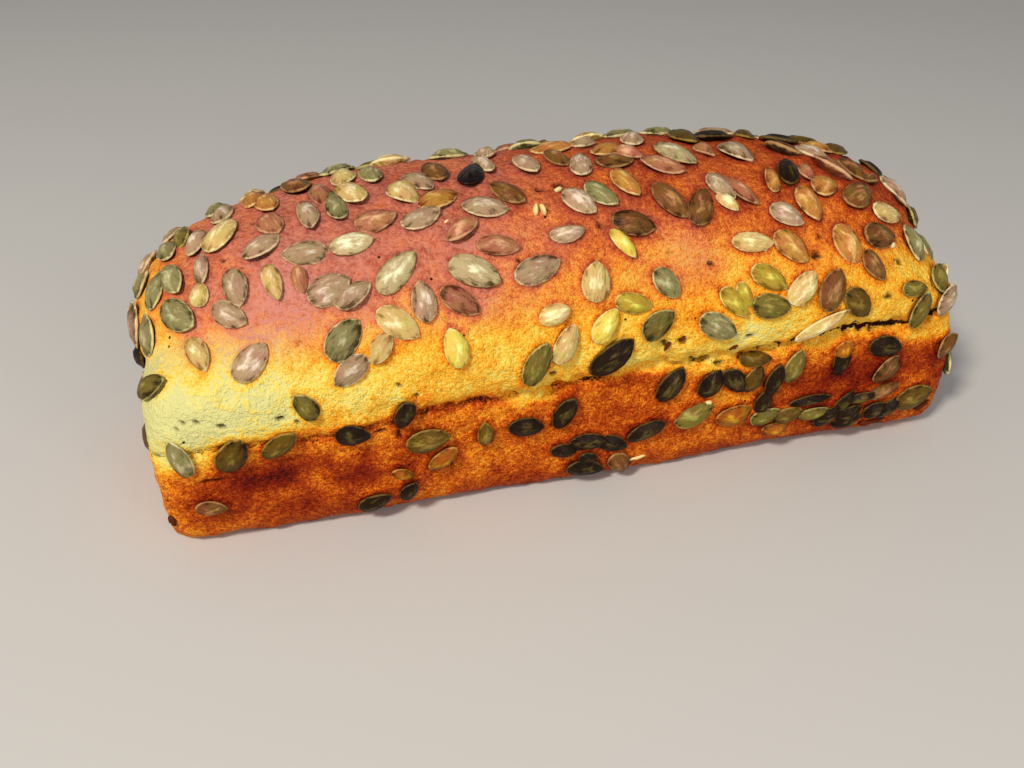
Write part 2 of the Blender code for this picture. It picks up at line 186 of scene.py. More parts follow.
# Each row is walk (mm), roll (degrees), turn (the way the pointed tip lies, in degrees from the loaf's
# length, upwards), length and width (mm) and, where the lower edge stands up, by how many degrees.
SEEN_SEEDS = {
    "silver": (
        (-109, 40, -85, 13, 8), (-119, 9, 80, 14, 8), (-111, -8, 80, 15, 8), (-100, 27, 22, 13, 9, 10),
        (-84, 16, -85, 15, 7), (-87, 33, 175, 14, 8, 20), (-82, 47, 20, 14, 10), (-75, 50, 25, 13, 8, 20),
        (-108, 66, 45, 14, 9), (-29, 26, -20, 15, 9), (-50, 27, 20, 14, 8), (-23, -1, -80, 14, 7),
        (-17, 50, 15, 16, 9), (-5, 40, 5, 12, 6), (2, 29, -50, 13, 9), (68, 6, -75, 16, 11),
        (8, 11, 75, 15, 8), (-118, 28, 85, 12, 5), (99, 6, -60, 14, 9),
        (-112, 49, -40, 12, 8), (-47, 6, -60, 14, 9), (-9, 4, -80, 15, 8), (53, 28, -65, 13, 8),
        (127, 25, -45, 15, 9), (-54, 55, 92, 13, 8), (73, 42, -32, 13, 8), (135, 80, 20, 14, 12),
        (-79, 72, -145, 13, 8),
    ),
    "streaked": (
        (-61, 45, 42, 17, 9), (-37, 48, -28, 17, 10), (44, 7, -65, 18, 11), (-73, 33, 5, 14, 8),
    ),
    "green": (
        (-126, 44, -42, 15, 10), (-80, 63, 48, 15, 10), (26, 59, -55, 12, 8), (43, 75, -32, 15, 9),
        (125, 56, 75, 16, 10), (10, 27, -52, 13, 8), (-134, 96, 105, 15, 7), (-127, 25, -68, 15, 8),
        (-75, 15, 95, 15, 7), (-129, -3, -75, 14, 8), (-135, 24, 60, 14, 9), (-113, -20, 80, 14, 8),
        (-61, -6, -85, 14, 8), (-2, -22, 0, 14, 8, 20), (34, -22, 0, 14, 8), (48, -21, 0, 14, 8),
        (-32, -19, 0, 14, 8), (-144, 46, 90, 14, 9), (142, 57, -75, 14, 9),
    ),
    "moss": (
        (-123, -6, 95, 14, 8, 20), (-137, 71, 25, 12, 8), (22, 72, 38, 13, 9), (62, 71, -12, 14, 9),
        (39, 114, 22, 15, 8, 30), (68, 120, 15, 12, 7), (76, 98, 78, 14, 8), (-94, 81, 120, 11, 7),
        (118, 73, -5, 11, 6), (88, 122, 8, 12, 5), (-20, 79, 65, 16, 9), (131, 72, 50, 12, 9),
        (122, 81, 82, 15, 8),
    ),
    "lime": (
        (14, 64, -15, 13, 7), (62, 62, -35, 14, 8), (49, 68, -50, 13, 7), (53, 66, -70, 9, 5),
    ),
    "yellow": (
        (-46, 70, 100, 13, 8), (4, 70, 50, 13, 8), (13, 45, -55, 12, 5),
    ),
    "olive": (
        (-57, 104, 3, 15, 10), (-119, 97, 62, 15, 10),
        (95, 74, -48, 14, 9), (77, 121, 10, 12, 7), (129, 121, 20, 15, 11), (-104, 95, 42, 14, 8),
        (60, 101, 60, 12, 8), (-37, 107, 92, 10, 6), (60, 92, -5, 12, 6),
    ),
    "brown": (
        (-40, 0, -85, 15, 9), (33, 32, -62, 16, 9), (110, 19, -70, 14, 9), (103, 63, -70, 12, 8),
        (2, 3, -80, 15, 7), (138, 101, 22, 12, 8), (18, 39, -18, 15, 9), (109, 52, -5, 15, 10),
        (43, 36, 62, 15, 9), (85, 69, 65, 15, 10), (-20, 21, -55, 14, 8), (20, 11, -5, 13, 8),
        (105, 35, 28, 16, 10), (116, 25, 15, 9, 4, 30), (-129, 119, -12, 10, 6), (12, 128, -60, 11, 8),
        (115, 107, 50, 13, 8), (116, 117, 20, 13, 5, 30), (88, 3, -45, 14, 8, 35),
    ),
    "dark": (
        (94, 124, 30, 12, 7), (114, 124, 25, 10, 7), (69, 104, 78, 14, 7), (103, 124, 25, 11, 7),
        (-81, 95, -25, 12, 9), (66, 113, 75, 10, 7), (9, 120, -20, 11, 7), (-9, 104, 62, 13, 8),
        (44, 100, 60, 12, 9), (-64, 125, 60, 9, 6), (-64, 89, -105, 12, 7), (-23, 107, -12, 13, 8),
        (6, 81, 38, 18, 11), (29, 98, 60, 15, 9), (0, 118, -3, 15, 7), (-9, 120, -5, 10, 6),
        (-1, 128, -10, 14, 8), (21, 117, 20, 15, 7), (53, 100, -45, 14, 8), (112, 95, -15, 14, 9),
        (95, 99, -92, 12, 7), (81, 23, 68, 15, 8), (-76, 127, 20, 12, 8), (100, 119, 55, 11, 5),
        (103, 127, 15, 12, 6), (120, 124, 45, 12, 6), (0, 124, 0, 7, 4),
        (85, 116, 4, 17, 4), (107, 118, 8, 14, 4), (66, -12, 8, 18, 10, 15),
        (93, -11, -12, 15, 8, 20),
    ),
    "cream": (
        (22, -24, 0, 14, 8, 20), (-122, 61, -62, 13, 7), (-63, 60, -40, 15, 9),
        (58, 50, -8, 15, 7), (-119, 39, 80, 8, 7), (-112, 12, 62, 17, 11), (-98, 41, -82, 12, 6),
        (-69, 7, -72, 15, 10), (-53, 12, -68, 14, 10), (-70, -9, 80, 15, 9), (-69, 67, 50, 11, 7, 20),
        (2, 56, 82, 13, 10), (-10, 74, 62, 14, 8), (-13, 64, 12, 11, 7), (53, 35, -48, 9, 5),
        (74, 67, 42, 14, 9), (116, 42, -8, 15, 8), (-52, -23, 10, 15, 8, 20), (82, 80, 30, 21, 6),
    ),
    "amber": (
        (72, 53, -45, 15, 9), (-100, -12, 85, 15, 8), (92, 31, 20, 11, 9), (-96, -2, -80, 15, 8),
        (-43, 19, 15, 14, 9), (20, 23, -70, 14, 8), (83, 38, -80, 14, 9), (94, 54, -68, 15, 11),
        (73, 27, 80, 12, 5), (105, -2, -10, 13, 8), (21, 1, 10, 13, 9),
    ),
    "toffee": (
        (-52, 114, 38, 12, 7), (73, 126, 0, 10, 6), (-66, 117, -25, 8, 4), (95, 94, -90, 9, 7),
        (55, 117, 8, 14, 9),
    ),
    "rosy": (
        (-64, 25, 15, 14, 9), (59, 31, -55, 15, 7, 15), (-38, 34, 30, 13, 8, 25),
        (-96, 16, -70, 12, 9), (-79, 3, -88, 15, 7), (-90, 42, -85, 9, 5),
        (-43, 56, -38, 14, 8), (-28, 41, -12, 14, 7), (27, 5, -45, 12, 8), (36, 15, -35, 16, 9),
        (88, 24, -85, 9, 5), (101, 19, -62, 17, 9, 30), (56, 5, -70, 10, 6),
    ),
    "burnt": (
        (-29, 7, 65, 15, 9),
    ),
}
SEEN_WALK = 0.143  # the rows reach this far from the middle
SEEN_BACK_ROLL = -6.0  # and, apart from a few, this far over the ridge
LOWEST_ROLL = 122.0
STREWN_SEEDS = 150
STREWN_TRIES = 6000
STREWN_GAP = 0.0105
STREWN_LENGTHS = (10, 17)  # mm
STREWN_WIDTH_SHARE = 0.6
SPARSE_ROLL = -75  # beyond this, on the back's wall, and on the ends fewer seeds are kept
SPARSE_SHARE = 0.45
BARE_CORNER = (-168, -143)  # the walks (mm) of the front corner that the photo shows without seeds
BARE_ROLL = 20  # and the roll from which it is bare
DRAW_SEED = 11
KIND_SHARES = {
    "silver": 0.20, "streaked": 0.03, "green": 0.14, "moss": 0.07, "lime": 0.02, "olive": 0.08, "brown": 0.12,
    "dark": 0.10, "cream": 0.10, "amber": 0.07, "rosy": 0.07,
}


def strewn_seeds():
    """Seeds for the back and the ends: places drawn at random, kept where the others leave room."""
    draw = np.random.default_rng(DRAW_SEED)
    seen = np.array([row[:2] for kind in SEEN_SEEDS.values() for row in kind])
    places = list(crust_point(seen[:, 0] * MM, seen[:, 1]))
    rows = []
    for _ in range(STREWN_TRIES):
        walk = draw.uniform(-HALF_WALK, HALF_WALK)
        roll = draw.uniform(-LOWEST_ROLL, LOWEST_ROLL)
        turn = draw.uniform(-90, 90)
        length = draw.uniform(*STREWN_LENGTHS)
        chance = draw.uniform()
        on_end = abs(walk) > SEEN_WALK
        if roll > SEEN_BACK_ROLL and not on_end:
            continue
        if (on_end or roll < SPARSE_ROLL) and chance > SPARSE_SHARE:
            continue
        if roll > BARE_ROLL and BARE_CORNER[0] < walk / MM < BARE_CORNER[1]:
            continue
        place = crust_point(np.array([walk]), np.array([roll]))[0]
        if any(np.linalg.norm(place - other) < STREWN_GAP for other in places):
            continue
        places.append(place)
        rows.append((walk / MM, roll, turn, length, length * STREWN_WIDTH_SHARE))
        if len(rows) == STREWN_SEEDS:
            break
    return rows


seed_rows = {kind: list(rows) for kind, rows in SEEN_SEEDS.items()}
pick_kind = np.random.default_rng(DRAW_SEED + 1)
for strewn_row in strewn_seeds():
    kind = pick_kind.choice(list(KIND_SHARES), p=list(KIND_SHARES.values()))
    seed_rows[kind].append(strewn_row)

# The crust: dough browned in the oven, dry and matt, with a faint sheen on the dome. It is golden where it
# swelled over the rim, red brown on top and against the tin, and torn along the crease. The dough closed
# round each seed in a low lip, and a painted shadow darkens the crust in a band round each seed.
CRUST_WALKS = 366
CRUST_ROLLS = 270
FOOT_ROLL = 131.0  # where the wall meets the base
BASE_SHARE = 0.10  # of the columns, for the flat base, where nothing shows
BASE_ABOVE = 0.0002  # what lies lower than this is the base
GRAIN_SIZES = (0.011, 0.0042, 0.0021)
GRAIN_HEIGHTS = (0.00045, 0.00038, 0.00028)
RAGGED_HEIGHT = 0.0019
RAGGED_BAND = 0.0048
GAP_HALF = 0.0013  # half the height of the torn gap where it is widest
GAP_WALKS = (-75, -40, 0, 18, 90, 100, 150)  # where it is open and where it is only frayed
GAP_SHARES = (0.45, 0.4, 0.2, 0.05, 0.05, 0.55, 0.3)
GAP_CLOSED = 0.2  # the share at which it would be shut without the two noises below
GAP_WANDER = 0.75
GAP_FRAY = 0.35
GAP_DEPTH = 0.0012
GAP_BAND = 0.0016
GRAIN_ROLLS = (70, 92)  # the grain of the colour is fine on the dome and coarse on the wall
GRAIN_SHARES = (0.58, 0.70)
LIP_HEIGHT = 0.0005
LIP_BAND = 0.0013
LIP_REACH = 3  # how far outside a seed its lip is worked out, in bands
BED_DEPTH = 0.0006
WALL_ROLL = 84  # the dome's colours turn to the wall's from here
WALL_BAND = 10
# The size and the draw seed of each noise.
RAGGED_NOISE = (0.0029, 7)
GAP_NOISE = (0.010, 8)
WANDER_NOISE = (0.016, 21)
FRAY_NOISE = (0.005, 22)
BROAD_NOISE = (0.018, 11)
FINE_NOISE = (0.0065, 12)
BLUSH_NOISE = (0.009, 13)
LATTICE = 61  # the values along each side of a noise's lattice, after which it repeats
# Baking, from 0, pale cream, to 1, nearly black, against roll and against walk (mm), and patches of more or
# less: walk (mm), roll (degrees), their two radii and the amount. The palest cream at the left end is in part
# a painted highlight, where the light falls strongest.
BAKE_ROLLS = (0, 20, 40, 50, 58, 66, 74, 82, 88, 92, 97, 110, 125, 180)
BAKE_VALUES = (0.59, 0.58, 0.55, 0.48, 0.38, 0.33, 0.26, 0.20, 0.29, 0.46, 0.52, 0.58, 0.60, 0.60)
RIM_WANDER = 2.5  # the degrees of roll by which the edge between gold and brown wanders
RIM_FRAY = 2.0  # and those by which it is frayed
BAKE_WALKS = (-197, -165, -150, -138, -120, -95, -60, 0, 60, 110, 150)
BAKE_AND_HIGHLIGHT_ALONG = (-0.10, -0.22, -0.34, -0.26, -0.11, -0.03, 0.0, 0.0, 0.01, 0.02, 0.03)
WALL_SHARE_ALONG = 0.45  # how much of that reaches the wall
BROAD_BAKE = 0.06
FINE_BAKE = 0.06
FINE_BAKE_ON_WALL = 0.04  # added to that on the wall
# Painted shadow: the crust is drawn darker in a band round each seed, where the seed's shadow falls.
SEED_PAINTED_SHADOW = 0.13  # darker where the dough closed on a seed and browned in its shelter
SEED_PAINTED_SHADOW_BAND = 0.0011
BAKE_AND_HIGHLIGHT_PATCHES = (
    (-112, 110, 20, 6, 0.20), (-126, 118, 12, 8, 0.20), (-100, 122, 14, 7, 0.14), (-90, 107, 12, 5, 0.05),
    (-44, 91, 14, 3, 0.32), (17, 94, 13, 3, 0.18), (-20, 95, 9, 4, -0.22), (42, 93, 12, 5, -0.16),
    (-32, 118, 14, 7, -0.10), (-50, 104, 12, 8, -0.10), (35, 125, 14, 5, -0.09), (50, 111, 12, 7, -0.12),
    (98, 106, 24, 8, 0.18), (122, 107, 14, 7, 0.12), (125, 93, 12, 3, -0.26), (-105, 76, 18, 9, -0.14),
    (-128, 86, 14, 8, -0.12), (62, 80, 12, 6, -0.11), (33, 48, 7, 8, -0.14), (-60, 52, 7, 6, -0.04),
    (-72, 62, 6, 6, -0.12), (118, 30, 16, 12, 0.05), (82, 49, 10, 7, 0.07), (-4, 50, 8, 6, -0.06),
    (-97, 46, 12, 9, 0.05), (56, 60, 10, 6, -0.08), (-92, 97, 9, 3, 0.10), (-78, 118, 8, 6, 0.10),
    (4, 110, 9, 6, 0.05),
    (58, 95, 17, 5, -0.17), (-24, 90, 10, 3, -0.06), (52, 108, 12, 4, -0.10),
    (-78, 122, 16, 5, -0.07), (-30, 63, 10, 8, 0.05), (-78, 99, 14, 4, -0.06), (90, 38, 10, 6, -0.03),
    (72, 90, 8, 3, -0.07), (-108, 100, 12, 4, -0.08), (-140, 95, 13, 9, -0.30), (-105, 109, 7, 6, 0.12),
    (-84, 115, 8, 4, 0.12), (-94, 114, 4, 5, -0.14), (-128, 122, 8, 5, -0.08), (-20, 23, 34, 9, -0.04),
    (35, 104, 16, 8, -0.06), (70, 118, 9, 6, -0.10), (10, 76, 10, 8, -0.06), (-90, 100, 22, 4, -0.05),
    (-112, 61, 20, 8, -0.13), (-84, 72, 14, 7, -0.05), (131, 66, 12, 10, -0.05), (51, 50, 6, 5, -0.10),
)
# The top is flushed with pink, in part a painted sheen where the light glances off the dome: against roll,
# against walk (mm), and in patches.
BLUSH_ROLLS = (0, 40, 58, 68)
BLUSH_VALUES = (0.36, 0.46, 0.42, 0.0)
BLUSH_WALKS = (-150, -134, -110, -50, -25, 0, 50, 90, 150)
BLUSH_ALONG = (0.2, 0.3, 1.3, 1.05, 0.8, 0.35, 0.2, 0.1, 0.1)
BLUSH_PATCHES = (
    (-97, 50, 14, 11, 0.5), (-86, 30, 20, 8, 0.15), (35, 51, 9, 9, 0.35), (-35, 38, 9, 7, 0.15),
    (-106, 63, 18, 7, 0.22),
)
BLUSH_MOTTLE = 0.45
# Pits and holes, dented into the crust and drawn dark inside as painted shade: walk (mm), roll (degrees),
# radius along and up (mm), depth (mm).
PITS = (
    (82, 57, 2.2, 1.5, 1.8), (43, 55, 1.6, 1.2, 1.5), (7, 38, 1.2, 1.2, 1.4), (-9, 20, 2.0, 1.0, 1.5),
    (-2, 19, 2.6, 1.0, 1.5), (-101, 10, 1.5, 1.0, 1.0), (-65, 79, 1.0, 0.8, 1.2), (-60, 83, 0.8, 0.8, 1.0),
    (-126, 82, 0.6, 1.0, 1.0), (-130, 82, 0.7, 0.6, 1.0), (-133, 84, 0.6, 0.6, 1.0),
    (-127, 109, 4.0, 1.0, 1.8),
    (-102, 84, 1.6, 0.5, 1.0), (-97, 86, 1.2, 0.5, 1.0), (31, 79, 1.8, 1.1, 1.8), (25, 79, 1.2, 1.4, 1.6),
    (56, 81, 1.6, 1.0, 1.2), (-14, 84, 1.4, 1.0, 1.2), (-66, 100, 1.0, 2.4, 1.6), (-72, 97, 2.4, 0.8, 1.0),
    (-49, 118, 1.0, 2.4, 1.2), (29, 50, 0.8, 0.8, 1.0), (84, 51, 0.8, 0.8, 1.0), (-112, 26, 0.9, 0.9, 1.0),
    (-39, 14, 0.7, 0.7, 0.8), (-22, 46, 0.7, 0.7, 0.8), (-48, 61, 0.6, 0.6, 0.8), (116, 63, 1.4, 1.0, 1.4),
    (108, 74, 2.0, 1.0, 1.0), (-119, 84, 1.4, 0.7, 0.8), (40, 89, 4.0, 1.0, 1.6), (47, 92, 2.6, 0.9, 1.4),
)
PIT_REACH = 3  # how far from its middle a pit is worked out, in radii
PIT_DARK = 2.2  # the dark fades out where a pit is 1 / 2.2 of its full depth
# Rings of dough round blisters and lost seeds: walk (mm), roll (degrees), radius (mm), height (mm), and the
# share of that height to which the inside is filled.
RINGS = (
    (-98, 54, 1.7, 0.35, 0.2), (-94, 66, 4.5, 0.5, -0.5), (-106, 76, 5.5, 0.3, 0.9),
    (-116, 75, 3.5, 0.5, -0.5), (-125, 67, 3.5, 0.4, -0.3), (-72, 82, 1.6, 0.4, 0.3),
    (-43, 61, 4.0, 0.3, 0.2), (-56, 85, 1.2, 0.4, 0.3), (-109, 52, 4.5, 0.25, 0.2),
    (56, 63, 4.0, 0.25, 0.1), (118, 56, 1.5, 0.5, 1.0), (-35, 76, 1.0, 0.4, 0.4),
)
RING_REACH = 2.5
RING_BAND = 0.9  # mm
RING_SHADE = 0.10


def dough_noise(points, grain, draw_seed):
    """Smooth noise between -1 and 1: random values on a lattice of the grain's size, blended between them."""
    lattice = np.random.default_rng(draw_seed).uniform(-1, 1, (LATTICE, LATTICE, LATTICE))
    cell = points / grain
    corner = np.floor(cell).astype(int)
    share = cell - corner
    share = share * share * (3 - 2 * share)
    total = np.zeros(points.shape[:-1])
    for step in np.ndindex(2, 2, 2):
        weight = np.prod(np.where(np.array(step) == 1, share, 1 - share), axis=-1)
        spot = (corner + step) % LATTICE
        total += weight * lattice[spot[..., 0], spot[..., 1], spot[..., 2]]
    return total


def grid_faces(rows, columns):
    """The quads of a grid whose last column joins its first."""
    row, column = np.meshgrid(np.arange(rows - 1), np.arange(columns), indexing="ij")
    beside = (column + 1) % columns
    corners = (row * columns + column, row * columns + beside, (row + 1) * columns + beside)
    return np.stack((*corners, (row + 1) * columns + column), axis=-1).reshape(-1, 4)


def stack_faces(count, rings, sides, top, bottom):
    """The faces of many like shapes, each a stack of rings that a top and a bottom point close."""
    side = np.arange(sides)
    beside = (side + 1) % sides
    last_ring = (rings - 1) * sides
    upper = np.stack([last_ring + side, last_ring + beside, np.full(sides, top)], axis=-1)
    lower = np.stack([beside, side, np.full(sides, bottom)], axis=-1)
    starts = np.arange(count)[:, None, None] * (rings * sides + 2)
    faces = []
    for block in (grid_faces(rings, sides), upper, lower):
        faces += (block + starts).reshape(-1, block.shape[1]).tolist()
    return faces


def add_mesh(name, points, faces, smooth=True):
    """A mesh object at the origin, with its place in its points."""
    mesh = bpy.data.meshes.new(name)
    mesh.from_pydata(np.asarray(points).tolist(), [], faces)
    mesh.polygons.foreach_set("use_smooth", [smooth] * len(mesh.polygons))
    piece = bpy.data.objects.new(name, mesh)
    bpy.context.scene.collection.objects.link(piece)
    return piece


def add_numbers(piece, name, values):
    """Gives a piece a number, or three, at each point, for its material to read."""
    values = np.asarray(values, dtype=np.float32)
    kind, slot = ("FLOAT", "value") if values.ndim == 1 else ("FLOAT_VECTOR", "vector")
    layer = piece.data.attributes.new(name, kind, "POINT")
    layer.data.foreach_set(slot, values.ravel())


def patches(walks, rolls, rows):
    """The sum of soft oval patches: each falls off as a bell curve from its middle."""
    total = np.zeros(walks.shape)
    for walk, roll, reach_a, reach_b, amount in rows:
        away = ((walks - walk) / reach_a) ** 2 + ((rolls - roll) / reach_b) ** 2
        total += amount * np.exp(-away)
    return total


def oval_share(points, centre, along, across, reach_a, reach_b):
    """How far points are from an oval's centre, as a share of its edge in that direction."""
    offset = points - centre
    return np.hypot(offset @ along / reach_a, offset @ across / reach_b)


def seed_frames(rows):
    """The centre and the length, width and upward directions of each seed, tipped where an edge stands up."""
    frames = []
    for walk, roll, turn, _, _, *lift in rows:
        place, along, up, out = crust_frame(walk * MM, roll)
        turn = np.radians(turn)
        raised = np.radians(sum(lift))
        length_way = along * np.cos(turn) + up * np.sin(turn)
        width_way = np.cross(out, length_way) * np.cos(raised) - out * np.sin(raised)
        frames.append((place, length_way, width_way, np.cross(length_way, width_way)))
    return [np.array(column) for column in zip(*frames)]


share = np.linspace(-1, 1, CRUST_ROLLS, endpoint=False)
roll_line = np.sign(share) * np.interp(np.abs(share), (0, 1 - BASE_SHARE, 1), (0, FOOT_ROLL, 180))
walk_line = np.linspace(-HALF_WALK, HALF_WALK, CRUST_WALKS + 2)[1:-1]
walks, rolls = np.meshgrid(walk_line, roll_line, indexing="ij")
bare = crust_point(walks, rolls)
ring_way = np.roll(bare, -1, axis=1) - np.roll(bare, 1, axis=1)
normals = np.cross(ring_way, np.gradient(bare, axis=0))
normals = normals / np.maximum(np.linalg.norm(normals, axis=-1, keepdims=True), 1e-12)

above_crease = bare[..., 2] - crease_height(bare[..., 0])
torn = tear(walks, bare[..., 1])
ragged = dough_noise(bare, *RAGGED_NOISE)
gap_share = np.interp(walks / MM, GAP_WALKS, GAP_SHARES) - GAP_CLOSED
gap_share = gap_share + GAP_WANDER * dough_noise(bare, *GAP_NOISE) - GAP_FRAY * ragged
gap_half = GAP_HALF * torn * gap_share
near_crease = torn * np.exp(-((above_crease / RAGGED_BAND) ** 2))
raised = RAGGED_HEIGHT * near_crease * ragged
raised -= GAP_DEPTH * (gap_half > 0) * np.exp(-((above_crease / GAP_BAND) ** 2))
for number, (grain, height) in enumerate(zip(GRAIN_SIZES, GRAIN_HEIGHTS)):
    raised += height * dough_noise(bare, grain, number)
# Painted shadow round the seeds: 1 on and under each seed, falling off outside its edge.
painted_seed_shadow = np.zeros(bare.shape[:2])
for rows in seed_rows.values():
    for row, centre, length_way, width_way, _ in zip(rows, *seed_frames(rows)):
        reach_a = row[3] / 2 * MM
        reach_b = row[4] / 2 * MM
        near = np.linalg.norm(bare - centre, axis=-1) < reach_a + LIP_REACH * LIP_BAND
        outside = oval_share(bare[near], centre, length_way, width_way, reach_a, reach_b) - 1
        raised[near] += LIP_HEIGHT * np.exp(-((outside * reach_b / LIP_BAND) ** 2))
        raised[near] -= BED_DEPTH * np.clip(-outside, 0, 1)
        painted_shadow_share = np.exp(-((np.clip(outside, 0, None) * reach_b / SEED_PAINTED_SHADOW_BAND) ** 2))
        painted_seed_shadow[near] = np.maximum(painted_seed_shadow[near], painted_shadow_share)
pitted = np.zeros(bare.shape[:2])
ringed = np.zeros(bare.shape[:2])
for walk, roll, reach_a, reach_b, depth in PITS:
    centre, along, up, _ = crust_frame(walk * MM, roll)
    near = np.linalg.norm(bare - centre, axis=-1) < PIT_REACH * max(reach_a, reach_b) * MM
    dent = np.exp(-(oval_share(bare[near], centre, along, up, reach_a * MM, reach_b * MM) ** 4))
    raised[near] -= depth * MM * dent
    pitted[near] = np.maximum(pitted[near], np.clip(PIT_DARK * dent - 1.0, 0, 1))
for walk, roll, radius, height, fill in RINGS:
    centre, along, up, _ = crust_frame(walk * MM, roll)
    near = np.linalg.norm(bare - centre, axis=-1) < RING_REACH * radius * MM
    outside = oval_share(bare[near], centre, along, up, radius * MM, radius * MM) - 1
    ring = np.exp(-((outside * radius / RING_BAND) ** 2))
    raised[near] += height * MM * (ring + fill * (outside < 0) * (1 - ring))
    ringed[near] = np.maximum(ringed[near], ring)
on_base = bare[..., 2] < BASE_ABOVE
points = bare + normals * np.where(on_base, 0, raised)[..., None]
points[..., 2] = np.maximum(points[..., 2], 0)

walks_mm = walks / MM
wander = RIM_WANDER * dough_noise(bare, *WANDER_NOISE) + RIM_FRAY * dough_noise(bare, *FRAY_NOISE)
bake_and_painted_light = np.interp(np.abs(rolls) + wander, BAKE_ROLLS, BAKE_VALUES)
on_wall = np.clip((np.abs(rolls) - WALL_ROLL) / WALL_BAND, 0, 1)
bake_and_painted_light += np.interp(walks_mm, BAKE_WALKS, BAKE_AND_HIGHLIGHT_ALONG) * (1 + (WALL_SHARE_ALONG - 1) * on_wall)
bake_and_painted_light += patches(walks_mm, rolls, BAKE_AND_HIGHLIGHT_PATCHES) + SEED_PAINTED_SHADOW * painted_seed_shadow + RING_SHADE * ringed
bake_and_painted_light += BROAD_BAKE * dough_noise(bare, *BROAD_NOISE)
bake_and_painted_light += (FINE_BAKE + FINE_BAKE_ON_WALL * on_wall) * dough_noise(bare, *FINE_NOISE)
blush = np.interp(np.abs(rolls), BLUSH_ROLLS, BLUSH_VALUES)
blush *= np.interp(walks_mm, BLUSH_WALKS, BLUSH_ALONG)
blush += patches(walks_mm, rolls, BLUSH_PATCHES)
blush *= 1 + BLUSH_MOTTLE * dough_noise(bare, *BLUSH_NOISE)

poles = [[points[end, :, 0].mean(), 0, RIM_HEIGHT] for end in (0, -1)]
left_pole = CRUST_WALKS * CRUST_ROLLS
crust_faces = stack_faces(1, CRUST_WALKS, CRUST_ROLLS, left_pole + 1, left_pole)
crust = add_mesh("baked_crust", np.concatenate([points.reshape(-1, 3), poles]), crust_faces)
grain_share = np.interp(np.abs(rolls), GRAIN_ROLLS, GRAIN_SHARES)
fields = {"bake_and_painted_light": bake_and_painted_light, "blush": blush, "pit": pitted, "grain": grain_share}
fields.update({"above": above_crease / MM, "gap": gap_half / MM})
for name, field in fields.items():
    add_numbers(crust, name, np.append(field, (field[0].mean(), field[-1].mean())))


def linear(code):
    """An sRGB hex colour as the linear red, green, blue and alpha that shaders take."""
    part = np.array([int(code[i : i + 2], 16) / 255 for i in (1, 3, 5)])
    part = np.where(part <= 0.04045, part / 12.92, ((part + 0.055) / 1.055) ** 2.4)
    return (*part, 1)


def add_node(material, kind, links=None, stops=None, **settings):
    """Adds a shader node with its settings, its inputs as values or sockets, and a colour ramp's stops."""
    node = material.node_tree.nodes.new(kind)
    for name, value in settings.items():
        setattr(node, name, value)
    for name, value in (links or {}).items():
        if isinstance(value, bpy.types.NodeSocket):
            material.node_tree.links.new(value, node.inputs[name])
        else:
            node.inputs[name].default_value = value
    for number, (place, code) in enumerate(stops or ()):
        elements = node.color_ramp.elements
        stop = elements[number] if number < 2 else elements.new(place)
        stop.position = place
        stop.color = linear(code)
    return node


def new_material(name, roughness, specular):
    """A material whose Principled shader has its roughness and specular level set."""
    material = bpy.data.materials.new(name)
    material.use_nodes = True
    shader = material.node_tree.nodes["Principled BSDF"]
    shader.inputs["Roughness"].default_value = roughness
    shader.inputs["Specular IOR Level"].default_value = specular
    return material, shader


def attribute(material, name, output="Fac"):
    """The socket of the numbers that a piece carries under a name."""
    return add_node(material, "ShaderNodeAttribute", attribute_name=name).outputs[output]


def noise(material, place, size, detail=2.0, roughness=0.5):
    """The socket of a noise of the given size, in metres, at a place."""
    inputs = {"Vector": place, "Scale": 1 / size, "Detail": detail, "Roughness": roughness}
    return add_node(material, "ShaderNodeTexNoise", inputs).outputs["Fac"]


def calculate(material, operation, *values):
    """The socket of one step of arithmetic on values and sockets."""
    return add_node(material, "ShaderNodeMath", dict(enumerate(values)), operation=operation).outputs[0]


def remap(material, value, old_range, new_range=(0.0, 1.0)):
    """The socket of a value moved from one range to another, and held inside the new one."""
    inputs = {"Value": value, "From Min": old_range[0], "From Max": old_range[1]}
    inputs.update({"To Min": new_range[0], "To Max": new_range[1]})
    return add_node(material, "ShaderNodeMapRange", inputs).outputs[0]


MIX_FIRST = 6  # the Mix node's two colour sockets and its colour output
MIX_SECOND = 7
MIX_RESULT = 2


def mix(material, share, first, second):
    """The socket of two colours mixed, with the second's share."""
    inputs = {0: share, MIX_FIRST: first, MIX_SECOND: second}
    return add_node(material, "ShaderNodeMix", inputs, data_type="RGBA").outputs[MIX_RESULT]


# The browned skin of the dough: broad zones of gold and red brown, broken by mottling, grain and specks.
# Pinholes, pits and the ragged gap in the crease are drawn dark, as painted shade in these hollows. Matt, so
# that the eye reads it as dry.
BROWNING = (
    (0.0, "#d6d28c"), (0.08, "#e4d87c"), (0.16, "#f2d45c"), (0.26, "#f0b838"), (0.38, "#eb981e"),
    (0.45, "#e27c18"), (0.53, "#c85c10"), (0.61, "#ac4407"), (0.72, "#8c2a05"), (0.85, "#701403"),
    (1.0, "#2a0a04"),
)
# The pink of the flush, in part a painted sheen.
BLUSH = "#cc8474"
PAINTED_HOLLOW_SHADE = "#2c1003"
SKIN_ROUGHNESS = 0.65
SKIN_SPECULAR = 0.08
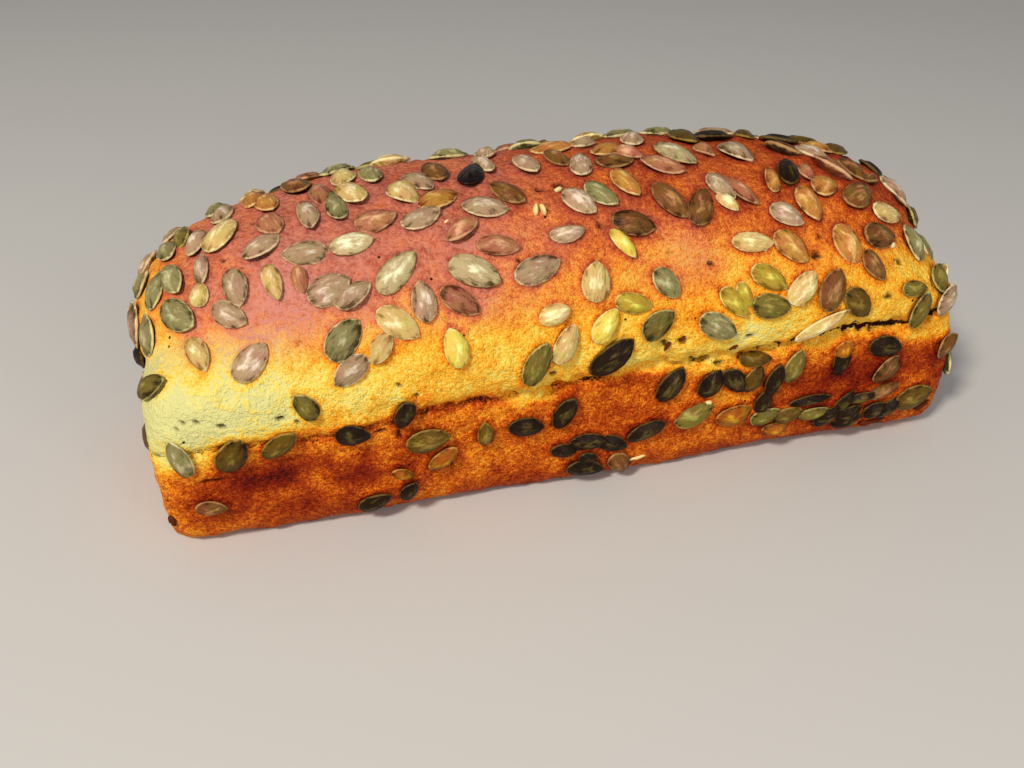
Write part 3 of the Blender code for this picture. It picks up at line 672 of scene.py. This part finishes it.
# Mottling, grain and specks: the size and detail of each, and how far it moves the baking.
MOTTLING = ((0.0042, 2.0, 0.07), (0.0016, 2.0, 0.12), (0.0006, 1.0, 0.15))
NOISE_RANGE = (0.3, 0.7)  # most of a noise's values lie in this
FLECKING = 0.45  # how much stronger the pink flush is in the pale grains, and weaker in the dark ones
FLAKE_SIZE = 0.0034
FLAKE_DETAIL = 4.0
FLAKE_ROUGHNESS = 0.65
FLAKE_REACH = 9.0  # how far flakes shift the gap's edge, in mm for the noise's whole range
GAP_EDGE = (-0.25, 0.15)  # the gap darkens from this far outside its edge to this far inside, in mm
PINHOLE_SPACING = 0.009
PINHOLE_RADIUS = 0.00040
PINHOLE_EDGE = (0.6, 1.3)  # it is dark up to this share of its radius, and gone at this one
SPECK_RELIEF = 0.4  # the specks' share of the fine relief, beside 1 for the grain
SKIN_BUMP = 0.0010
skin, shader = new_material("baked bread crust", SKIN_ROUGHNESS, SKIN_SPECULAR)
place = add_node(skin, "ShaderNodeTexCoord").outputs["Object"]
grain = attribute(skin, "grain")
# The baking read here also carries the painted shadow round the seeds and the painted highlight at the left
# end.
baked = attribute(skin, "bake_and_painted_light")
fine = []
for size, detail, amount in MOTTLING:
    fine.append(noise(skin, place, size, detail))
    shift = remap(skin, fine[-1], NOISE_RANGE, (-amount, amount))
    baked = calculate(skin, "MULTIPLY_ADD", shift, grain, baked)
browned_and_painted_light = add_node(skin, "ShaderNodeValToRGB", {0: baked}, BROWNING).outputs[0]
flecks = remap(skin, fine[1], NOISE_RANGE, (1 + FLECKING, 1 - FLECKING))
flush = calculate(skin, "MULTIPLY", attribute(skin, "blush"), flecks)
flushed = mix(skin, flush, browned_and_painted_light, linear(BLUSH))
cells = add_node(skin, "ShaderNodeTexVoronoi", {"Vector": place, "Scale": 1 / PINHOLE_SPACING})
pinhole_edge = [part * PINHOLE_RADIUS / PINHOLE_SPACING for part in PINHOLE_EDGE]
pinhole = remap(skin, cells.outputs["Distance"], pinhole_edge, (1.0, 0.0))
flakes = noise(skin, place, FLAKE_SIZE, FLAKE_DETAIL, FLAKE_ROUGHNESS)
flakes = calculate(skin, "SUBTRACT", flakes, 0.5)
above_gap = calculate(skin, "MULTIPLY_ADD", flakes, FLAKE_REACH, attribute(skin, "above"))
off_gap = calculate(skin, "ABSOLUTE", above_gap)
inside_gap = calculate(skin, "SUBTRACT", attribute(skin, "gap"), off_gap)
split = remap(skin, inside_gap, GAP_EDGE)
# Painted shade in the hollows: the pits, the pinholes and the torn gap are drawn dark.
painted_hollow_shade = calculate(skin, "MAXIMUM", attribute(skin, "pit"), pinhole)
painted_hollow_shade = calculate(skin, "MAXIMUM", painted_hollow_shade, split)
coloured = mix(skin, painted_hollow_shade, flushed, linear(PAINTED_HOLLOW_SHADE))
height = calculate(skin, "MULTIPLY_ADD", fine[2], SPECK_RELIEF, fine[1])
height = calculate(skin, "SUBTRACT", height, painted_hollow_shade)
bump = add_node(skin, "ShaderNodeBump", {"Height": height, "Strength": 1.0, "Distance": SKIN_BUMP})
skin.node_tree.links.new(coloured, shader.inputs["Base Color"])
skin.node_tree.links.new(bump.outputs[0], shader.inputs["Normal"])
crust.data.materials.append(skin)
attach(crust, "root")
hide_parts("seeded_loaf")

# One shelled seed: a flat oval kernel with a short point, a fine bead round its edge and a domed middle. It
# dried and bent a little in the oven. All the seeds of one colour are one joined piece.
SEED_SIDES = 14
SEED_POINTING = 0.09
TIP_REACH = 0.09  # the tip stands out by this share of half the length
TIP_SPREAD = 0.30
EDGE_ABOVE = 0.0012  # the edge above the crust
SEED_ROOT = 0.0030  # how far below the edge the underside meets the dough
# Rings from the edge to the middle: share of the outline, height above the edge, and how much it is edge.
SEED_RINGS = ((1.0, 0.0, 1.0), (0.94, 0.00060, 0.9), (0.82, 0.00070, 0.75), (0.50, 0.00200, 0.30))
SEED_TOP = 0.0024
# Painted shade: through the edge's painted shade, this edge value makes the underside's skin dark.
UNDERSIDE = 2.0  # the edge value where the underside meets the dough, in its own shadow
SEED_BOW = 0.0004
SEED_TWIST = 0.0005
SEED_SKEW = 0.06
BOW_LEVEL = 0.3  # the bow and the skew are nil where the square of the place along the seed is this
SKEW_LEVEL = 0.5
LOWEST_SEED = 0.0003
LIE_SPACING = 0.05  # between seeds in the coordinates of their mottling, so that no two are alike
SEED_DRAWS = DRAW_SEED + 20


def add_seeds(name, rows, material, draw_seed):
    """Seeds as one mesh: rings of one outline on each seed's own plane, closed by a point above and below.

    The outline is an ellipse whose width shrinks towards the tip, which stands out by a narrow bell curve.
    Each seed is bowed and twisted by its own amounts, and shifted up where it would reach the floor.
    """
    draw = np.random.default_rng(draw_seed)
    count = len(rows)
    angle = np.arange(SEED_SIDES) / SEED_SIDES * 2 * np.pi
    from_tip = np.minimum(angle, 2 * np.pi - angle)
    outline_x = np.cos(angle) + TIP_REACH * np.exp(-((from_tip / TIP_SPREAD) ** 2))
    outline_y = np.sin(angle) * (1 - SEED_POINTING * np.cos(angle))
    rings = np.array(SEED_RINGS)
    x = np.append(rings[:, :1] * outline_x, (0, 0))
    y = np.append(rings[:, :1] * outline_y, (0, 0))
    z = np.append(np.repeat(rings[:, 1], SEED_SIDES), (SEED_TOP, -SEED_ROOT))
    edge = np.append(np.repeat(rings[:, 2], SEED_SIDES), (0, UNDERSIDE))
    places, length_ways, width_ways, out_ways = seed_frames(rows)
    sizes = np.array([row[3:5] for row in rows]) / 2 * MM
    bow = draw.normal(0, SEED_BOW, (count, 1))
    twist = draw.normal(0, SEED_TWIST, (count, 1))
    skew = draw.normal(0, SEED_SKEW, (count, 1))
    rise = z + bow * (x**2 - BOW_LEVEL) + twist * x * y + EDGE_ABOVE
    rise[:, -1] -= [width / 2 * MM * np.sin(np.radians(sum(lift))) for _, _, _, _, width, *lift in rows]
    y = y + skew * (x**2 - SKEW_LEVEL)
    local = np.stack([x * sizes[:, :1], y * sizes[:, 1:], rise], axis=-1)
    points = places[:, None] + local @ np.stack([length_ways, width_ways, out_ways], axis=1)
    points[..., 2] += np.clip(LOWEST_SEED - points[..., 2].min(axis=1), 0, None)[:, None]
    faces = stack_faces(count, len(rings), SEED_SIDES, len(x) - 2, len(x) - 1)
    piece = add_mesh(name, points.reshape(-1, 3), faces)
    add_numbers(piece, "edge", np.tile(edge, count))
    add_numbers(piece, "tone", np.repeat(draw.normal(0, 1, count), len(x)))
    local[..., 2] = np.arange(count)[:, None] * LIE_SPACING
    add_numbers(piece, "lie", local.reshape(-1, 3))
    piece.data.materials.append(material)
    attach(piece, "root")
    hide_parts("seeded_loaf")


# The skin of the seeds. The silvery film on most kernels makes them matt; where it baked off, the green or
# brown skin below is smoother and shines a little. Each row is the dark, middle, light and bead colours, and
# the roughness.
SEED_SKINS = {
    "silver": ("#553a20", "#a68666", "#decab2", "#e2cc9e", 0.5),
    "streaked": ("#4c3c18", "#b09c70", "#e8e2bc", "#c4b078", 0.45),
    "green": ("#3c3414", "#867c4e", "#c4ba8c", "#dacd92", 0.45),
    "moss": ("#30240a", "#706024", "#a09248", "#bcae68", 0.4),
    "lime": ("#7a5c0c", "#b39632", "#ecdf62", "#efe28c", 0.4),
    "yellow": ("#a8841c", "#dec252", "#f4ee90", "#f4eba0", 0.45),
    "olive": ("#241202", "#5c420a", "#8c7030", "#9c7c38", 0.35),
    "brown": ("#301604", "#70461e", "#b07c4c", "#ac8450", 0.4),
    "dark": ("#080401", "#221204", "#5c4c1e", "#665024", 0.35),
    "cream": ("#86602a", "#ccaa68", "#f2e8b2", "#f0e0a4", 0.5),
    "amber": ("#70360c", "#b67836", "#e8b872", "#e2bc78", 0.4),
    "toffee": ("#501e04", "#9c560c", "#d4921e", "#c89440", 0.4),
    "rosy": ("#622e16", "#a66848", "#d8a47e", "#d0a478", 0.45),
    "burnt": ("#060302", "#120806", "#3a2a24", "#2c1c16", 0.12),
}
SEED_SPECULAR = 0.12
STRETCH = (0.45, 1.0, 1.0)
BLOTCH_SIZE = 0.0019
BLOTCH_DETAIL = 3.0
BLOTCH_ROUGHNESS = 0.62
TONE_BLOTCH = 0.03  # how far a seed's own tone moves its mottling
TONE_VALUE = 0.06  # and its brightness
# Painted shade: the skin is drawn darker towards the edge and the underside, where the dome turns from the
# light.
EDGE_PAINTED_SHADE = -0.32
SKIN_STOPS = (0.08, 0.28, 0.40, 0.60)  # the skin is its dark, middle, middle and light colour here
FILM_SIZE = 0.005
FILM_TURN = 0.11  # how far the film's noise turns the hue
FILM_HUE = 0.448  # the hue, of which 0.5 is unturned, where that noise is 0
BEAD_FADE = -3.0  # how fast the bead ends as the edge value leaves 1
BEAD_RANGE = (0.12, 0.42)  # it is gone where its noise is below the first, and whole above the second
WRINKLE_SIZE = 0.0008
WRINKLE_STRENGTH = 0.7
WRINKLE_DEPTH = 0.0006


def seed_skin(name, dark, middle, light, bead, roughness):
    """The skin of one colour of seed: mottled along its length, light in the middle and dark by the bead.

    The mottling is noise of about 2 mm, stretched along the seed and shifted by its own tone. Painted shade
    darkens the skin towards the bead and on the underside, which leaves the middle lighter. The bead is a
    paler line of about 0.4 mm on the edge, broken where the noise is low.
    """
    material, shader = new_material(name, roughness, SEED_SPECULAR)
    edge = attribute(material, "edge")
    tone = attribute(material, "tone")
    lie = attribute(material, "lie", "Vector")
    stretched = add_node(material, "ShaderNodeMapping", {"Vector": lie, "Scale": STRETCH}).outputs[0]
    blotch = noise(material, stretched, BLOTCH_SIZE, BLOTCH_DETAIL, BLOTCH_ROUGHNESS)
    shade = calculate(material, "MULTIPLY_ADD", tone, TONE_BLOTCH, blotch)
    shade = calculate(material, "MULTIPLY_ADD", edge, EDGE_PAINTED_SHADE, shade)
    stops = zip(SKIN_STOPS, (dark, middle, middle, light))
    body = add_node(material, "ShaderNodeValToRGB", {0: shade}, stops).outputs[0]
    value = calculate(material, "MULTIPLY_ADD", tone, TONE_VALUE, 1.0)
    hue = calculate(material, "MULTIPLY_ADD", noise(material, lie, FILM_SIZE), FILM_TURN, FILM_HUE)
    tinted = {"Color": body, "Value": value, "Hue": hue}
    body = add_node(material, "ShaderNodeHueSaturation", tinted).outputs[0]
    off_edge = calculate(material, "ABSOLUTE", calculate(material, "SUBTRACT", edge, 1.0))
    on_bead = calculate(material, "MULTIPLY_ADD", off_edge, BEAD_FADE, blotch)
    colour = mix(material, remap(material, on_bead, BEAD_RANGE), body, linear(bead))
    wrinkles = {"Height": noise(material, stretched, WRINKLE_SIZE, 1.0)}
    wrinkles.update({"Strength": WRINKLE_STRENGTH, "Distance": WRINKLE_DEPTH})
    bump = add_node(material, "ShaderNodeBump", wrinkles)
    material.node_tree.links.new(colour, shader.inputs["Base Color"])
    material.node_tree.links.new(bump.outputs[0], shader.inputs["Normal"])
    return material


for number, (kind, colours) in enumerate(SEED_SKINS.items()):
    material = seed_skin(f"{kind} seed skin", *colours)
    add_seeds(f"{kind}_seeds", seed_rows[kind], material, SEED_DRAWS + number)

# Scraps and crumbs: slivers of kernel on end, crumbs of pale dough and curled edges of torn crust, baked on
# where they fell. Each is an uneven chip, matt and dry.

# Each row is walk (mm), roll (degrees), turn (degrees), length, width and height (mm).
SCRAPS = {
    "pale": (
        (-12.8, 30, 72, 5, 1.8, 5), (-10.4, 30, 100, 5, 1.8, 5), (115, 56, 10, 4, 3, 3),
        (-3, 22, 20, 3.5, 2, 2), (44.5, 109.5, 0, 2.6, 2.0, 3), (19, 128, 8, 8, 1.4, 2),
        (-42, 29, 30, 2, 1, 1.4), (63, 53, 30, 1.6, 1, 1),
    ),
    "torn": (
        (26, 80, 60, 4, 1.4, 2), (31, 78, 40, 3, 1.2, 2), (50, 84, 20, 4, 1.0, 2), (56, 91, 0, 5, 1.2, 2),
        (115, 130, 4, 12, 2.4, 3), (135, 126, 25, 7, 2.6, 3), (-141, 126, -60, 6, 2.6, 2.6),
        (93, 128, 0, 8, 2, 2),
    ),
}
CHIP_SIDES = 8
# Rings from the underside to the top: share of the outline, and of the height.
CHIP_RINGS = ((0.6, -0.5), (1.0, 0.1), (0.85, 0.6), (0.45, 0.9))
CHIP_BOTTOM = -0.6
CHIP_TOP = 1.0
CHIP_SPREAD = 0.22  # how far each point is pushed in or out at random, as a share
CHIP_DRAWS = DRAW_SEED + 50
SCRAP_COLOURS = {"pale": ("baked dough crumb", "#e8d490"), "torn": ("torn baked crust", "#5a2408")}
SCRAP_ROUGHNESS = 0.7
SCRAP_SPECULAR = 0.1


def add_chips(name, rows, material, draw_seed):
    """Uneven chips as one mesh: rings whose points are pushed in or out at random, closed at both ends."""
    draw = np.random.default_rng(draw_seed)
    angle = np.arange(CHIP_SIDES) / CHIP_SIDES * 2 * np.pi
    rings = np.array(CHIP_RINGS)
    x = np.append(rings[:, :1] * np.cos(angle), (0, 0))
    y = np.append(rings[:, :1] * np.sin(angle), (0, 0))
    z = np.append(np.repeat(rings[:, 1], CHIP_SIDES), (CHIP_BOTTOM, CHIP_TOP))
    places, length_ways, width_ways, out_ways = seed_frames([row[:5] for row in rows])
    sizes = np.array([row[3:6] for row in rows]) / 2 * MM
    uneven = 1 + draw.uniform(-CHIP_SPREAD, CHIP_SPREAD, (len(rows), len(x), 3))
    local = np.stack([x, y, z], axis=-1) * uneven * sizes[:, None]
    points = places[:, None] + local @ np.stack([length_ways, width_ways, out_ways], axis=1)
    points[..., 2] += np.clip(LOWEST_SEED - points[..., 2].min(axis=1), 0, None)[:, None]
    faces = stack_faces(len(rows), len(rings), CHIP_SIDES, len(x) - 1, len(x) - 2)
    piece = add_mesh(name, points.reshape(-1, 3), faces)
    piece.data.materials.append(material)
    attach(piece, "root")
    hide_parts("seeded_loaf")


for number, (kind, rows) in enumerate(SCRAPS.items()):
    finish, colour = SCRAP_COLOURS[kind]
    crumb, shader = new_material(finish, SCRAP_ROUGHNESS, SCRAP_SPECULAR)
    shader.inputs["Base Color"].default_value = linear(colour)
    add_chips(f"{kind}_scraps", rows, crumb, CHIP_DRAWS + number)

# The floor and the light: a plain pale floor of matt paint, a soft light high in front on the left, where the
# loaf's end is brightest, a weaker one low in front, and an even fill all round.
FLOOR_HALF = 6.0
FLOOR_ROUGHNESS = 0.8
FLOOR_SPECULAR = 0.2
FLOOR_COLOUR = "#c9c7c3"
FILL_STRENGTH = 0.30
FILL_COLOUR = "#f4f6fa"
# Each light's name, place, the point that it faces, size, power in watts and colour.
LIGHTS = (
    ("key", (-0.82, -0.75, 1.20), (-0.03, 0, 0.05), 0.24, 20.5, "#fff6ea"),
    ("front", (0.25, -1.0, 0.45), (0, 0, 0.04), 0.6, 3.5, "#ffffff"),
)
floor_corners = [(x * FLOOR_HALF, y * FLOOR_HALF, 0) for x, y in ((-1, -1), (1, -1), (1, 1), (-1, 1))]
floor = add_mesh("floor", floor_corners, [(0, 1, 2, 3)], smooth=False)
floor_paint, shader = new_material("pale floor paint", FLOOR_ROUGHNESS, FLOOR_SPECULAR)
shader.inputs["Base Color"].default_value = linear(FLOOR_COLOUR)
floor.data.materials.append(floor_paint)


def add_light(name, place, aim, size, power, colour):
    """A square soft light at a place, turned towards a point."""
    lamp = bpy.data.lights.new(name, "AREA")
    lamp.size = size
    lamp.energy = power
    lamp.color = linear(colour)[:3]
    light = bpy.data.objects.new(name, lamp)
    light.location = place
    light.rotation_euler = (Vector(aim) - Vector(place)).to_track_quat("-Z", "Y").to_euler()
    bpy.context.scene.collection.objects.link(light)


for light in LIGHTS:
    add_light(*light)
world = bpy.data.worlds.new("soft studio")
world.use_nodes = True
world.node_tree.nodes["Background"].inputs["Color"].default_value = linear(FILL_COLOUR)
world.node_tree.nodes["Background"].inputs["Strength"].default_value = FILL_STRENGTH
bpy.context.scene.world = world

# The camera, which stands where the photograph was taken: in front of the loaf, to its left and above it.
# Its place was fitted to the loaf's outline.
CAMERA_AIM = Vector((-0.0080, 0.0221, 0))
CAMERA_DISTANCE = 0.4144
CAMERA_AZIMUTH = -14.88
CAMERA_ELEVATION = 33.37
CAMERA_TILT = -0.56
CLIP_START = 0.01
PHOTO_WIDTH = 1024
FOCAL_PIXELS = 985.5
SENSOR = 36.0
azimuth, elevation = np.radians((CAMERA_AZIMUTH, CAMERA_ELEVATION))
level = np.cos(elevation)
back = Vector((np.sin(azimuth) * level, -np.cos(azimuth) * level, np.sin(elevation)))
lens = bpy.data.cameras.new("camera")
lens.sensor_width = SENSOR
lens.lens = FOCAL_PIXELS * SENSOR / PHOTO_WIDTH
lens.clip_start = CLIP_START
camera = bpy.data.objects.new("camera", lens)
camera.location = CAMERA_AIM + back * CAMERA_DISTANCE
turned = back.to_track_quat("Z", "Y").to_matrix() @ Matrix.Rotation(np.radians(CAMERA_TILT), 3, "Z")
camera.rotation_euler = turned.to_euler()
bpy.context.scene.collection.objects.link(camera)
bpy.context.scene.camera = camera
bpy.context.scene.view_settings.view_transform = "Standard"

bpy.context.view_layer.update()
